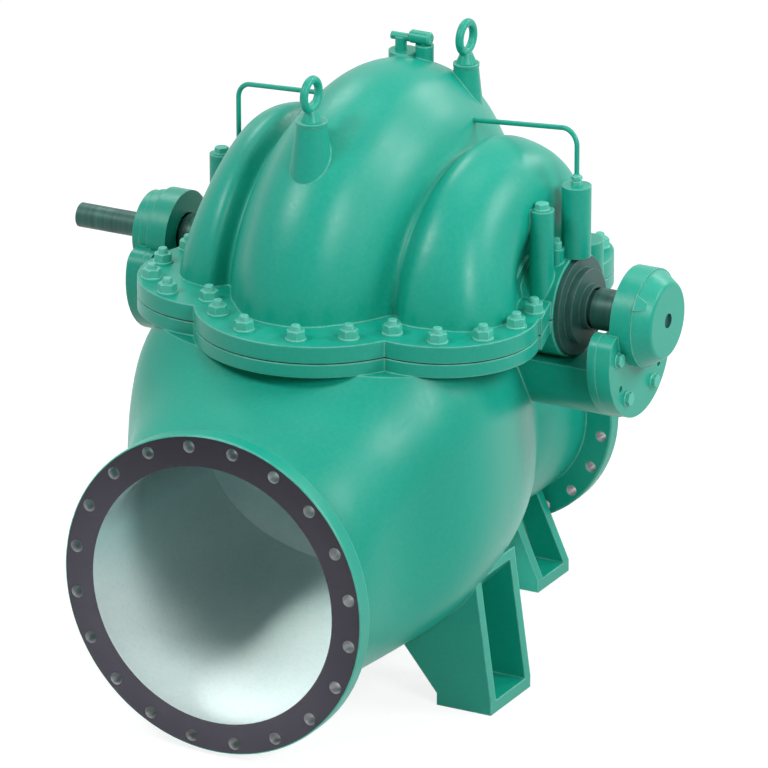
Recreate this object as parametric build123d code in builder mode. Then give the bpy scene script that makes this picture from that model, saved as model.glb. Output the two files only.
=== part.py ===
from build123d import *
import math
import os

os.makedirs("parts", exist_ok=True)

# Horizontal double-suction pump whose casing is split along the shaft.
# Millimetres. +X runs along the shaft to the closed bearing end, -Y faces the
# large suction nozzle, +Z is up. The origin lies on the floor plane, midway
# between the anchor holes of the two front feet.

# Overall places
shaft_height = 910.0
shaft_y = 280.0
nozzle_drop = 507.5
suction_face_y = -900.0
discharge_face_y = 580.0

# Nozzle flanges
suction_flange_r = 390.0
suction_flange_thickness = 45.0
suction_bore_r = 315.0
suction_bolt_circle_r = 362.5
suction_bolt_hole_r = 15.0
discharge_flange_r = 307.5
discharge_flange_thickness = 40.0
discharge_bore_r = 225.0
discharge_bolt_circle_r = 282.5
discharge_bolt_hole_r = 13.0
nozzle_bolt_count = 20
flange_rim_chamfer = 3.0

# Lower casing body: half width, half height, drop and squareness at places along the nozzles
neck_r = 345.0
discharge_neck_y = (420.0, 480.0, 540.0)
discharge_neck_r = 238.0
body_y = (-770.0, -680.0, -580.0, -470.0, -360.0, -240.0, -110.0, 20.0, 140.0, 250.0, 350.0)
body_half_width = (347.0, 360.0, 400.0, 453.0, 465.0, 454.0, 423.0, 367.0, 305.0, 258.0, 238.0)
body_half_height = (345.0, 354.0, 382.0, 416.0, 428.0, 420.0, 401.0, 371.0, 333.0, 292.0, 256.0)
body_drop = (479.0, 440.0, 390.0, 337.0, 328.0, 333.0, 350.0, 378.0, 414.0, 453.0, 489.0)
body_squareness = (2.2, 2.6, 2.9, 2.9, 2.7, 2.5, 2.3, 2.2, 2.1, 2.0, 2.0)
round_squareness = 2.0
outline_points = 16

# Lower half of the volute, below the split flange
volute_r = 432.0
volute_half_width = 178.0
volute_rounding = 60.0

# Inner spaces
chamber_r = 372.0
chamber_half_width = 92.0
drum_r = 412.0
passage_y = (-770.0, -680.0, -580.0, -470.0, -360.0, -260.0)
passage_half_width = (313.0, 324.0, 360.0, 395.0, 398.0, 380.0)
passage_half_height = (314.0, 324.0, 346.0, 346.0, 320.0, 290.0)
passage_drop = (484.0, 452.0, 408.0, 372.0, 366.0, 366.0)
passage_squareness = (2.2, 2.5, 2.7, 2.6, 2.4, 2.2)
throat_y = (180.0, 290.0, 395.0, 480.0)
throat_r = (150.0, 187.0, 218.0, 225.0)
throat_drop = (330.0, 425.0, 503.0, 507.5)
shaft_tunnel_r = 58.0

# Split flange
upper_flange_thickness = 42.0
lower_flange_thickness = 34.0
flange_gap = 3.0
gasket_inset = 4.0
hump_axis_y = -30.0
centre_lobe_r = 289.0
centre_lobe_front_y = -387.0
centre_lobe_back_y = 290.0
side_lobe_r = 225.0
side_lobe_x = 287.0
drive_lobe_x = 272.0
side_lobe_front_y = -306.0
back_lobe_r = 176.0
back_lobe_y = 190.0
flange_waist_x = 430.0
waist_shoulder_x = 506.0
waist_shoulder_y = -230.0
waist_end_y = 20.0

# Upper casing: reach from the volute axis at five turns from front to back
hump_core_r = 100.0
crown_top_reach = 528.0
front_reach_gain = 2.0
crown_back_fall = 58.0
side_hump_fall = 144.0
side_back_fall = 76.0
crown_front_reach = crown_top_reach + front_reach_gain
crown_back_reach = crown_top_reach - crown_back_fall
side_top_reach = crown_top_reach - side_hump_fall
side_front_reach = side_top_reach + front_reach_gain
side_back_reach = side_top_reach - side_back_fall
end_front_x = 440.0
end_top_x = 424.0
crown_shoulder_x = 92.0
crown_shoulder_fall = 27.0
crown_flank_x = 142.0
crown_flank_fall = 76.0
crown_foot_x = 190.0
crown_foot_fall = 142.0
groove_x = 220.0
groove_fall = 40.0
side_rise_x = 252.0
side_rise_fall = 8.0
side_crown_x = 312.0
side_shoulder_inset = 62.0
side_shoulder_fall = 20.0
side_flank_inset = 16.0
side_flank_fall = 74.0
side_end_fall = 150.0
side_tuck_inset = 24.0
side_tuck_r = 168.0
side_core_inset = 36.0
hump_core_plug_r = 130.0
drive_hump_squeeze = 0.86
drive_hump_fall = 16.0
hump_turns = (-12.0, 20.0, 58.0, 90.0, 140.0, 192.0)
crown_swell = (0.0, 0.0, 4.0, 0.0, 24.0, 0.0)
side_swell = (0.0, 0.0, 4.0, 0.0, 30.0, 0.0)
end_swell = (0.0, 0.0, -8.0, 0.0, 10.0, 0.0)
crown_lean = (-24.0, -24.0, -16.0, -6.0, 0.0, 0.0)

# Stuffing boxes and glands
box_neck_r = 126.0
box_cut_width = 400.0
drive_box_end_x = 472.0
closed_box_end_x = 480.0
gland_flange_r = 119.0
gland_flange_thickness = 13.0
gland_body_r = 91.0
gland_body_thickness = 20.0
gland_nose_r = 54.0
gland_nose_length = 18.0

# Bearing brackets and housings
arm_r = 96.0
arm_drop = 159.0
arm_top_drop = 122.0
arm_start_x = 250.0
bracket_start_x = 588.0
bracket_end_x = 610.0
housing_foot_end_x = 648.0
bracket_r = 160.0
bracket_drop = 86.0
bracket_top_drop = 14.0
bracket_corner_r = 40.0
bracket_recess_r = 110.0
bracket_bolt_circle_r = 119.0
bracket_bolt_angles = (7.0, 173.0, 235.0, 305.0)
dowel_angles = (213.0, 327.0)
dowel_hole_r = 9.0
dowel_hole_depth = 12.0
bracket_bolt_flats_half = 15.0
bracket_bolt_height = 13.0
drive_housing_r = 106.0
drive_housing_start_x = 570.0
drive_housing_step_x = 622.0
drive_housing_outer_r = 96.0
drive_cover_r = 92.0
drive_cover_end_x = 668.0
closed_housing_r = 119.0
closed_housing_start_x = 626.0
closed_housing_end_x = 681.0
cap_r = 116.0
cap_end_r = 90.0
cap_end_x = 720.0
cap_rounding = 12.0
cap_cavity_end_x = 702.0
cap_recess_r = 18.0
cap_recess_depth = 8.0
cap_rib_turn = 145.0
cap_rib_base = (26.0, 40.0)
cap_rib_base_r = 111.0
cap_rib_tip = (14.0, 6.0)
cap_rib_tip_r = 83.0
cap_rib_tip_x = 714.0
housing_seat_r = 52.0
housing_seat_depth = 26.0

# Rotor
sleeve_r = 42.0
shaft_r = 36.0
drive_stub_r = 30.0
drive_stub_end_x = 862.0
shaft_closed_end_x = 696.0
drive_step_x = 676.0
running_clearance = 0.05
free_clearance = 6.0
deflector_r = 50.0
deflector_thickness = 10.0
deflector_gap = 6.0
sleeve_start_x = 95.0
sleeve_nut_r = 50.0
sleeve_nut_gap = 10.0
impeller_r = 358.0
impeller_half_width = 74.0
impeller_eye_r = 175.0
wear_ring_r = 214.0
wear_ring_bore_r = 186.0
wear_ring_thickness = 12.0
impeller_hub_r = 78.0
impeller_hub_half_length = 84.0
impeller_hub_rise = 10.0
impeller_web_root_x = 40.0
impeller_web_r = 170.0
impeller_web_half_thickness = 5.0
shroud_thickness = 10.0
shroud_shoulder_x = 66.0
shroud_tip_x = 54.0
vane_count = 7
vane_thickness = 12.0
vane_half_width = 48.0
vane_root_r = 112.0
vane_middle_r = 240.0
vane_middle_turn = math.radians(24.0)
vane_tip_r = 346.0
vane_tip_turn = math.radians(62.0)
keyway_width = 18.0
keyway_depth = 7.0
keyway_length = 120.0
keyway_end_gap = 12.0
keyway_turn = 45.0

# Feet
front_foot_outer_x = 457.0
front_foot_width = 144.0
front_foot_front_y = -381.0
front_foot_back_y = -179.0
back_foot_outer_x = 205.0
back_foot_width = 110.0
back_foot_front_y = 354.0
back_foot_back_y = 518.0
foot_pad_thickness = 30.0
foot_web_thickness = 26.0
front_anchor_hole_r = 14.0
back_anchor_hole_r = 12.0
front_foot_top_x = 412.0
front_foot_top_drop = 560.0
front_foot_inner_x = 215.0
front_foot_inner_drop = 760.0
back_foot_top_x = 120.0
back_foot_top_drop = 690.0
back_foot_inner_x = 40.0
back_foot_inner_drop = 720.0

# Studs, nuts and fittings on the split flange
nut_flats_half = 20.0
nut_height = 24.0
stud_r = 12.0
stud_stickout = 12.0
centre_stud_r = 240.0
centre_stud_angles = (16.5, 46.0)
side_stud_r = 190.0
side_stud_angles = (24.0, 57.0, 91.0)
back_side_stud_r = 144.0
back_side_stud_angles = (8.0, 52.0)
cusp_stud_x = 246.0
cusp_stud_y = -478.0
waist_stud_x = 468.0
waist_stud_y = -195.0
post_x = 436.0
drive_post_x = 418.0
post_y = -95.0
post_r = 29.0
post_top_height = 258.0
post_head_height = 16.0
post_head_flats_half = 15.5
drive_flush_x = 424.0
closed_flush_x = 478.0
flush_boss_y = 0.0
flush_boss_r = 35.0
drive_flush_boss_top = 214.0
closed_flush_boss_top = 296.0
flush_boss_lift = 3.0
flush_nut_r = 14.0
flush_nut_height = 27.0
flush_nut_rounding = 7.0
flush_pipe_r = 6.0
flush_pipe_bend_r = 38.0
drive_flush_pipe_height = 404.0
drive_flush_tap = (-140.0, -38.0, 432.0)
closed_flush_pipe_height = 434.0
closed_flush_tap = (150.0, 68.0, 385.0)
box_plug_r = 12.0
box_plug_height = 16.0
box_plug_flats_half = 7.0
box_plug_head_height = 10.0
box_plug_x = 451.0
box_plug_y = -46.0
box_plug_boss_r = 17.0
box_plug_boss_top = 150.0
box_plug_boss_height = 60.0
back_boss_x = 425.0
back_boss_y = 150.0
back_boss_r = 45.0
back_boss_top = 107.0

# Lifting eyes and the priming cock
front_eye_x = -20.0
front_eye_y = -378.0
back_eye_x = 104.0
back_eye_y = 158.0
front_eye_boss_r = 35.0
back_eye_boss_r = 29.0
eye_boss_spread = 1.7
eye_boss_height = 190.0
eye_boss_rim = 2.5
eye_boss_rim_height = 8.0
front_eye_boss_fall = 40.0
back_eye_boss_fall = 36.0
front_eye_boss_top = crown_top_reach - front_eye_boss_fall
back_eye_boss_top = crown_top_reach - back_eye_boss_fall
eye_collar_r = 25.0
eye_collar_height = 24.0
eye_ring_r = 35.0
eye_wire_r = 10.0
eye_ring_sink = 6.0
cock_x = 8.0
cock_boss_x = 18.0
cock_y = 110.0
cock_boss_r = 22.0
cock_boss_rise = 9.0
cock_boss_top = crown_top_reach + cock_boss_rise
cock_boss_height = 90.0
cock_body_r = 16.0
cock_body_length = 56.0
cock_neck_r = 9.0
cock_chamfer = 4.0
handle_pad_x = -38.0
handle_pad_r = 36.0
handle_pad_fall = 21.0
handle_pad_top = cock_boss_top - handle_pad_fall
handle_x = -45.0
handle_axis_rise = 32.0
handle_height = handle_pad_top + handle_axis_rise
handle_r = 9.5
handle_length = 48.0
handle_neck_r = 14.0


def world(x, y, z):
    """Place measured from the shaft centre, as a place measured from the origin."""
    return (x, shaft_y + y, shaft_height + z)


def across(y, z=0.0):
    """Upright plane across the nozzle axis, looking along it."""
    return Plane(origin=world(0, y, z), x_dir=(1, 0, 0), z_dir=(0, -1, 0))


def along_shaft(x, side=1.0, z=0.0):
    """Plane square to the shaft at a distance on one side, facing outwards."""
    return Plane(origin=world(side * x, 0, z), x_dir=(0, side, 0), z_dir=(side, 0, 0))


def level(z, x=0.0, y=0.0):
    """Level plane at a height from the shaft centre."""
    return Plane(origin=world(x, y, z), x_dir=(1, 0, 0), z_dir=(0, 0, 1))


def casting_section(y, half_width, half_height, drop, exponent):
    """Rounded section of the lower casing across the nozzle axis."""
    points = []
    for step in range(outline_points):
        turn = 2 * math.pi * (step + 0.5) / outline_points
        wide = math.copysign(abs(math.cos(turn)) ** (2 / exponent), math.cos(turn))
        high = math.copysign(abs(math.sin(turn)) ** (2 / exponent), math.sin(turn))
        points.append((half_width * wide, half_height * high))
    with BuildSketch(across(y, -drop)) as section:
        with BuildLine():
            Spline(*points, periodic=True)
        make_face()
    return section.sketch


def nozzle_flange(outer_y, inner_y, radius):
    """Disc of a nozzle flange with its rims chamfered."""
    with BuildPart() as disc:
        with BuildSketch(across(outer_y, -nozzle_drop)):
            Circle(radius)
        extrude(amount=outer_y - inner_y)
        chamfer(disc.edges().filter_by(GeomType.CIRCLE), flange_rim_chamfer)
    return disc.part


def flange_outline():
    """Lobed outline of the split flange."""
    with BuildSketch() as outline:
        with Locations((0, centre_lobe_front_y), (0, centre_lobe_back_y)):
            Circle(centre_lobe_r)
        with Locations((side_lobe_x, side_lobe_front_y), (-drive_lobe_x, side_lobe_front_y)):
            Circle(side_lobe_r)
        with Locations((side_lobe_x, back_lobe_y), (-side_lobe_x, back_lobe_y)):
            Circle(back_lobe_r)
        with BuildLine():
            Polyline(
                (side_lobe_x - drive_lobe_x - waist_shoulder_x, waist_shoulder_y),
                (-flange_waist_x, waist_end_y),
                (-flange_waist_x, back_lobe_y),
                (flange_waist_x, back_lobe_y),
                (flange_waist_x, waist_end_y),
                (waist_shoulder_x, waist_shoulder_y),
                close=True,
            )
        make_face()
    return outline.sketch


def hump_section(turn, crown_reach, side_reach, end_x, lean):
    """Section of the upper casing at a turn about the volute axis, from the front."""
    angle = math.radians(turn)
    plane = Plane(
        origin=world(0, hump_axis_y, 0),
        x_dir=(1, 0, 0),
        z_dir=(0, -math.sin(angle), -math.cos(angle)),
    )
    crown_half = [
        (crown_shoulder_x, crown_reach - crown_shoulder_fall),
        (crown_flank_x, crown_reach - crown_flank_fall),
        (crown_foot_x, crown_reach - crown_foot_fall),
        (groove_x, side_reach - groove_fall),
        (side_rise_x, side_reach - side_rise_fall),
    ]
    side_half = [
        (side_crown_x, side_reach),
        (end_x - side_shoulder_inset, side_reach - side_shoulder_fall),
        (end_x - side_flank_inset, side_reach - side_flank_fall),
        (end_x, side_reach - side_end_fall),
        (end_x - side_tuck_inset, side_tuck_r),
        (end_x - side_core_inset, hump_core_r),
    ]
    left_half = []
    for x, reach in reversed(side_half):
        past_groove = x - groove_x
        fall = drive_hump_fall * past_groove / (end_x - groove_x)
        left_half.append(((1 - drive_hump_squeeze) * past_groove - x, reach - fall))
    for x, reach in reversed(crown_half):
        left_half.append((lean - x, reach))
    right_half = [(lean + x, reach) for x, reach in crown_half] + side_half
    with BuildSketch(plane) as section:
        with BuildLine():
            skin = Spline(*left_half, (lean, crown_reach), *right_half)
            Line(skin @ 1, skin @ 0)
        make_face()
    return section.sketch


def stud_places(lobe_x, side):
    """Places of the split flange studs on one side of the middle plane."""
    shift = side_lobe_x - lobe_x
    places = []
    for angle in centre_stud_angles:
        turn = math.radians(angle)
        reach = centre_stud_r * math.cos(turn)
        places.append((side * centre_stud_r * math.sin(turn), centre_lobe_front_y - reach))
        places.append((side * centre_stud_r * math.sin(turn), centre_lobe_back_y + reach))
    for angle in side_stud_angles:
        turn = math.radians(angle)
        places.append((
            side * (lobe_x + side_stud_r * math.sin(turn)),
            side_lobe_front_y - side_stud_r * math.cos(turn),
        ))
    for angle in back_side_stud_angles:
        turn = math.radians(angle)
        places.append((
            side * (side_lobe_x + back_side_stud_r * math.sin(turn)),
            back_lobe_y + back_side_stud_r * math.cos(turn),
        ))
    places.append((side * (cusp_stud_x - shift / 2), cusp_stud_y))
    places.append((side * (waist_stud_x - shift), waist_stud_y))
    return places


def foot_block(foot, front_y, back_y):
    """Pair of cast feet: a pad, an inner web and two gussets open outwards."""
    outer_x, width, top_x, top_drop, inner_x, inner_drop = foot
    pad_top = foot_pad_thickness - shaft_height
    with BuildPart() as block:
        with BuildSketch(across(front_y)):
            with BuildLine():
                Polyline(
                    (outer_x, -shaft_height),
                    (outer_x, pad_top),
                    (top_x, -top_drop),
                    (inner_x, -inner_drop),
                    (outer_x - width, pad_top),
                    (outer_x - width, -shaft_height),
                    close=True,
                )
            make_face()
        extrude(amount=front_y - back_y)
        with BuildSketch(across(front_y + foot_web_thickness)):
            with BuildLine():
                Polyline(
                    (outer_x + foot_web_thickness, pad_top),
                    (top_x + foot_web_thickness, -top_drop),
                    (inner_x + foot_web_thickness, -inner_drop),
                    (outer_x - width + foot_web_thickness, pad_top),
                    close=True,
                )
            make_face()
        extrude(amount=front_y - back_y + 2 * foot_web_thickness, mode=Mode.SUBTRACT)
        mirror(about=Plane.YZ)
    return block.part


def bracket_arm(side):
    """Bracket cast with the lower casing: an arm and a round-bottomed plate for a housing."""
    with BuildPart() as arm:
        with BuildSketch(along_shaft(arm_start_x, side, -arm_drop)):
            Circle(arm_r)
            with Locations((0, arm_drop - arm_top_drop + arm_r)):
                Rectangle(arm_r + arm_r, arm_r + arm_r, mode=Mode.SUBTRACT)
        extrude(amount=bracket_end_x - arm_start_x)
        with BuildSketch(along_shaft(bracket_start_x, side)):
            add(bracket_outline())
            Circle(bracket_recess_r, mode=Mode.SUBTRACT)
        extrude(amount=bracket_end_x - bracket_start_x)
    return arm.part


def bracket_outline():
    """Round-bottomed plate outline with a flat top just under the split."""
    with BuildSketch() as outline:
        with Locations((0, -bracket_drop)):
            Circle(bracket_r)
        with Locations((0, bracket_r - bracket_top_drop)):
            Rectangle(bracket_r + bracket_r, bracket_r + bracket_r, mode=Mode.SUBTRACT)
        fillet(outline.vertices(), bracket_corner_r)
    return outline.sketch


def turned_places(radius, angles):
    """Places on a circle about the middle of the bracket plate."""
    places = []
    for angle in angles:
        turn = math.radians(angle)
        places.append((radius * math.cos(turn), radius * math.sin(turn) - bracket_drop))
    return places


def flush_route(boss, pipe_height, tap):
    """Flush pipe from the top of its nut, round one bend, into the crown."""
    x, y, top = boss
    with BuildPart() as pipe:
        with BuildLine() as route:
            FilletPolyline(
                world(x, y, top),
                world(x, y, pipe_height),
                world(*tap),
                radius=flush_pipe_bend_r,
            )
        with BuildSketch(level(top, x, y)):
            Circle(flush_pipe_r)
        sweep()
    return pipe.part


def vane_outline():
    """One vane, curved backwards from the hub to the rim."""
    with BuildSketch() as outline:
        with BuildLine(mode=Mode.PRIVATE) as spine:
            ThreePointArc(
                (vane_root_r, 0),
                (vane_middle_r * math.cos(vane_middle_turn), -vane_middle_r * math.sin(vane_middle_turn)),
                (vane_tip_r * math.cos(vane_tip_turn), -vane_tip_r * math.sin(vane_tip_turn)),
            )
        SlotArc(spine.edges()[0], vane_thickness)
    return outline.sketch


def half_box(sign):
    """Half of a stuffing box neck, below or above the split."""
    with BuildSketch() as outline:
        Circle(box_neck_r)
        with Locations((0, -sign * box_neck_r)):
            Rectangle(box_cut_width, 2 * box_neck_r + flange_gap, mode=Mode.SUBTRACT)
    return outline.sketch


front_foot = (
    front_foot_outer_x,
    front_foot_width,
    front_foot_top_x,
    front_foot_top_drop,
    front_foot_inner_x,
    front_foot_inner_drop,
)
back_foot = (
    back_foot_outer_x,
    back_foot_width,
    back_foot_top_x,
    back_foot_top_drop,
    back_foot_inner_x,
    back_foot_inner_drop,
)
suction_neck_y = suction_face_y + suction_flange_thickness
discharge_back_y = discharge_face_y - discharge_flange_thickness
foot_centre_x = front_foot_outer_x - front_foot_width / 2
back_foot_centre_x = back_foot_outer_x - back_foot_width / 2
front_foot_centre_y = (front_foot_front_y + front_foot_back_y) / 2
back_foot_centre_y = (back_foot_front_y + back_foot_back_y) / 2

# Lower casing: one casting with both nozzles, the feet and the bearing brackets
box_ends = ((-1, drive_box_end_x), (1, closed_box_end_x))
tunnel_end_x = max(drive_box_end_x, closed_box_end_x)
body_stations = (
    (suction_neck_y, neck_r, neck_r, nozzle_drop, round_squareness),
    *zip(body_y, body_half_width, body_half_height, body_drop, body_squareness),
    *((y, discharge_neck_r, discharge_neck_r, nozzle_drop, round_squareness) for y in discharge_neck_y),
)
passage_stations = (
    (suction_face_y, suction_bore_r, suction_bore_r, nozzle_drop, round_squareness),
    (suction_neck_y, suction_bore_r, suction_bore_r, nozzle_drop, round_squareness),
    *zip(passage_y, passage_half_width, passage_half_height, passage_drop, passage_squareness),
)
throat_stations = (
    *zip(throat_y, throat_r, throat_drop),
    (discharge_face_y, discharge_bore_r, nozzle_drop),
)
front_feet = foot_block(front_foot, front_foot_front_y, front_foot_back_y)
back_feet = foot_block(back_foot, back_foot_front_y, back_foot_back_y)
flush_ends = (
    (-1, drive_flush_x, drive_flush_boss_top, drive_flush_pipe_height, drive_flush_tap),
    (1, closed_flush_x, closed_flush_boss_top, closed_flush_pipe_height, closed_flush_tap),
)
flush_pipes = [
    flush_route((side * x, flush_boss_y, boss_top + flush_nut_height), pipe_height, tap)
    for side, x, boss_top, pipe_height, tap in flush_ends
]

with BuildPart() as suction_passage:
    for y, half_width, half_height, drop, exponent in passage_stations:
        add(casting_section(y, half_width, half_height, drop, exponent))
    loft()
    with BuildSketch(along_shaft(-passage_half_width[-1], 1)):
        Circle(drum_r)
    extrude(amount=2 * passage_half_width[-1], mode=Mode.SUBTRACT)

with BuildPart() as discharge_passage:
    for y, radius, drop in throat_stations:
        with BuildSketch(across(y, -drop)):
            Circle(radius)
    loft()

with BuildPart() as rotor_space:
    with BuildSketch(along_shaft(-chamber_half_width, 1)):
        Circle(chamber_r)
    extrude(amount=2 * chamber_half_width)
    with BuildSketch(along_shaft(-tunnel_end_x, 1)):
        Circle(shaft_tunnel_r)
    extrude(amount=2 * tunnel_end_x)

with BuildPart() as lower_volute:
    with BuildSketch(along_shaft(-volute_half_width, 1)):
        Circle(volute_r)
    extrude(amount=2 * volute_half_width)
    fillet(lower_volute.edges().filter_by(GeomType.CIRCLE), volute_rounding)

with BuildPart() as lower_casing:
    for y, half_width, half_height, drop, exponent in body_stations:
        add(casting_section(y, half_width, half_height, drop, exponent))
    loft()
    add(lower_volute.part)
    split(bisect_by=level(-lower_flange_thickness), keep=Keep.BOTTOM)
    add(front_feet)
    add(back_feet)
    add(bracket_arm(-1))
    add(bracket_arm(1))
    with BuildSketch(level(-lower_flange_thickness)):
        add(flange_outline())
    extrude(amount=lower_flange_thickness - flange_gap / 2)
    for side, box_end_x in box_ends:
        with BuildSketch(along_shaft(arm_start_x, side)):
            add(half_box(-1))
        extrude(amount=box_end_x - arm_start_x)
    add(nozzle_flange(suction_face_y, suction_neck_y, suction_flange_r))
    add(nozzle_flange(discharge_face_y, discharge_back_y, discharge_flange_r))
    with BuildSketch(across(suction_face_y, -nozzle_drop)):
        with PolarLocations(suction_bolt_circle_r, nozzle_bolt_count, start_angle=180 / nozzle_bolt_count):
            Circle(suction_bolt_hole_r)
    extrude(amount=-suction_flange_thickness, mode=Mode.SUBTRACT)
    with BuildSketch(across(discharge_face_y, -nozzle_drop)):
        with PolarLocations(discharge_bolt_circle_r, nozzle_bolt_count, start_angle=180 / nozzle_bolt_count):
            Circle(discharge_bolt_hole_r)
    extrude(amount=discharge_flange_thickness, mode=Mode.SUBTRACT)
    with BuildSketch(level(-shaft_height)):
        with Locations((foot_centre_x, front_foot_centre_y), (-foot_centre_x, front_foot_centre_y)):
            Circle(front_anchor_hole_r)
        with Locations((back_foot_centre_x, back_foot_centre_y), (-back_foot_centre_x, back_foot_centre_y)):
            Circle(back_anchor_hole_r)
    extrude(amount=foot_pad_thickness, mode=Mode.SUBTRACT)
    add(suction_passage.part, mode=Mode.SUBTRACT)
    add(discharge_passage.part, mode=Mode.SUBTRACT)
    add(rotor_space.part, mode=Mode.SUBTRACT)
lower_casing.part.label = "lower_casing"
export_step(lower_casing.part, "parts/lower_casing.step")

# Upper casing: the volute hump between two suction humps on the top flange
hump_stations = [
    (hump_turns[0], crown_front_reach, side_front_reach, end_front_x),
    (hump_turns[1], crown_front_reach, side_front_reach, end_front_x),
    (hump_turns[2], crown_top_reach, side_top_reach, end_top_x),
    (hump_turns[3], crown_top_reach, side_top_reach, end_top_x),
    (hump_turns[4], crown_back_reach, side_back_reach, end_top_x),
    (hump_turns[5], crown_back_reach, side_back_reach, end_top_x),
]
with BuildPart() as upper_casing:
    swells = zip(crown_swell, side_swell, end_swell, crown_lean)
    for (turn, crown_reach, side_reach, end_x), swell in zip(hump_stations, swells):
        more_crown, more_side, more_end, lean = swell
        add(hump_section(turn, crown_reach + more_crown, side_reach + more_side, end_x + more_end, lean))
    loft()
    plug_start_x = drive_lobe_x + side_core_inset
    plug_end_x = end_top_x - side_core_inset
    with BuildSketch(along_shaft(-plug_start_x, 1)):
        with Locations((hump_axis_y, 0)):
            Circle(hump_core_plug_r)
    extrude(amount=plug_start_x + plug_end_x)
    split(bisect_by=level(flange_gap / 2), keep=Keep.TOP)
    with BuildSketch(level(flange_gap / 2)):
        add(flange_outline())
        with Locations((back_boss_x, back_boss_y), (-back_boss_x, back_boss_y)):
            Circle(back_boss_r)
    extrude(amount=upper_flange_thickness - flange_gap / 2)
    for side, box_end_x in box_ends:
        with BuildSketch(along_shaft(arm_start_x, side)):
            add(half_box(1))
        extrude(amount=box_end_x - arm_start_x)
    for side, x, boss_top, pipe_height, tap in flush_ends:
        with BuildSketch(level(gland_flange_r + flush_boss_lift, side * x, flush_boss_y)):
            Circle(flush_boss_r)
        extrude(amount=boss_top - gland_flange_r - flush_boss_lift)
    with BuildSketch(level(box_plug_boss_top - box_plug_boss_height)):
        with Locations((box_plug_x, box_plug_y), (-box_plug_x, box_plug_y)):
            Circle(box_plug_boss_r)
    extrude(amount=box_plug_boss_height)
    with BuildSketch(level(upper_flange_thickness)):
        with Locations((post_x, post_y), (-drive_post_x, post_y)):
            Circle(post_r)
    extrude(amount=post_top_height - upper_flange_thickness)
    with BuildSketch(level(upper_flange_thickness)):
        with Locations((back_boss_x, back_boss_y), (-back_boss_x, back_boss_y)):
            Circle(back_boss_r)
    extrude(amount=back_boss_top - upper_flange_thickness)
    with BuildSketch(level(cock_boss_top - cock_boss_height)):
        with Locations((cock_boss_x, cock_y)):
            Circle(cock_boss_r)
    extrude(amount=cock_boss_height)
    with BuildSketch(level(handle_pad_top - cock_boss_height)):
        with Locations((handle_pad_x, cock_y)):
            Circle(handle_pad_r)
    extrude(amount=cock_boss_height)
    for x, y, top, radius in (
        (front_eye_x, front_eye_y, front_eye_boss_top, front_eye_boss_r),
        (back_eye_x, back_eye_y, back_eye_boss_top, back_eye_boss_r),
    ):
        with BuildSketch(level(top - eye_boss_height, x, y)):
            Circle(radius * eye_boss_spread)
        with BuildSketch(level(top, x, y)):
            Circle(radius)
        loft()
        with BuildSketch(level(top - eye_boss_rim_height, x, y)):
            Circle(radius + eye_boss_rim)
        extrude(amount=eye_boss_rim_height)
    add(rotor_space.part, mode=Mode.SUBTRACT)
    for pipe in flush_pipes:
        add(pipe, mode=Mode.SUBTRACT)
upper_casing.part.label = "upper_casing"
export_step(upper_casing.part, "parts/upper_casing.step")

# Sheet gasket between the two halves, set back a little from the flange edge
with BuildPart() as casing_gasket:
    with BuildSketch(level(-flange_gap / 2)):
        add(offset(flange_outline(), -gasket_inset, mode=Mode.PRIVATE))
    extrude(amount=flange_gap)
    add(rotor_space.part, mode=Mode.SUBTRACT)
casing_gasket.part.label = "casing_gasket"
export_step(casing_gasket.part, "parts/casing_gasket.step")

# Studs and nuts of the split flange, each nut with its stud end
with BuildPart() as split_flange_nuts:
    places = stud_places(side_lobe_x, 1) + stud_places(drive_lobe_x, -1)
    with BuildSketch(level(upper_flange_thickness)):
        with Locations(*places):
            RegularPolygon(nut_flats_half, 6, major_radius=False)
    extrude(amount=nut_height)
    with BuildSketch(level(upper_flange_thickness + nut_height)):
        with Locations(*places):
            Circle(stud_r)
    extrude(amount=stud_stickout)
split_flange_nuts.part.label = "split_flange_nuts"
export_step(split_flange_nuts.part, "parts/split_flange_nuts.step")

# Long bolts in the two tall posts beside the stuffing boxes
with BuildPart() as side_post_bolts:
    with BuildSketch(level(post_top_height)):
        with Locations((post_x, post_y), (-drive_post_x, post_y)):
            RegularPolygon(post_head_flats_half, 6, major_radius=False)
    extrude(amount=post_head_height)
side_post_bolts.part.label = "side_post_bolts"
export_step(side_post_bolts.part, "parts/side_post_bolts.step")

# Bearing housings, each with its foot on the bracket plate
with BuildPart() as drive_bearing_housing:
    with BuildSketch(along_shaft(drive_housing_start_x, -1)):
        Circle(drive_housing_r)
    extrude(amount=drive_housing_step_x - drive_housing_start_x)
    with BuildSketch(along_shaft(drive_housing_step_x, -1)):
        Circle(drive_housing_outer_r)
    extrude(amount=housing_foot_end_x - drive_housing_step_x)
    with BuildSketch(along_shaft(bracket_end_x, -1)):
        add(bracket_outline())
    extrude(amount=housing_foot_end_x - bracket_end_x)
    with BuildSketch(along_shaft(housing_foot_end_x - dowel_hole_depth, -1)):
        with Locations(*turned_places(bracket_bolt_circle_r, dowel_angles)):
            Circle(dowel_hole_r)
    extrude(amount=dowel_hole_depth, mode=Mode.SUBTRACT)
    with BuildSketch(along_shaft(drive_housing_start_x, -1)):
        Circle(shaft_r + running_clearance)
    extrude(amount=housing_foot_end_x - drive_housing_start_x, mode=Mode.SUBTRACT)
    with BuildSketch(along_shaft(drive_housing_start_x, -1)):
        Circle(housing_seat_r)
    extrude(amount=housing_seat_depth, mode=Mode.SUBTRACT)
drive_bearing_housing.part.label = "drive_bearing_housing"
export_step(drive_bearing_housing.part, "parts/drive_bearing_housing.step")

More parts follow.
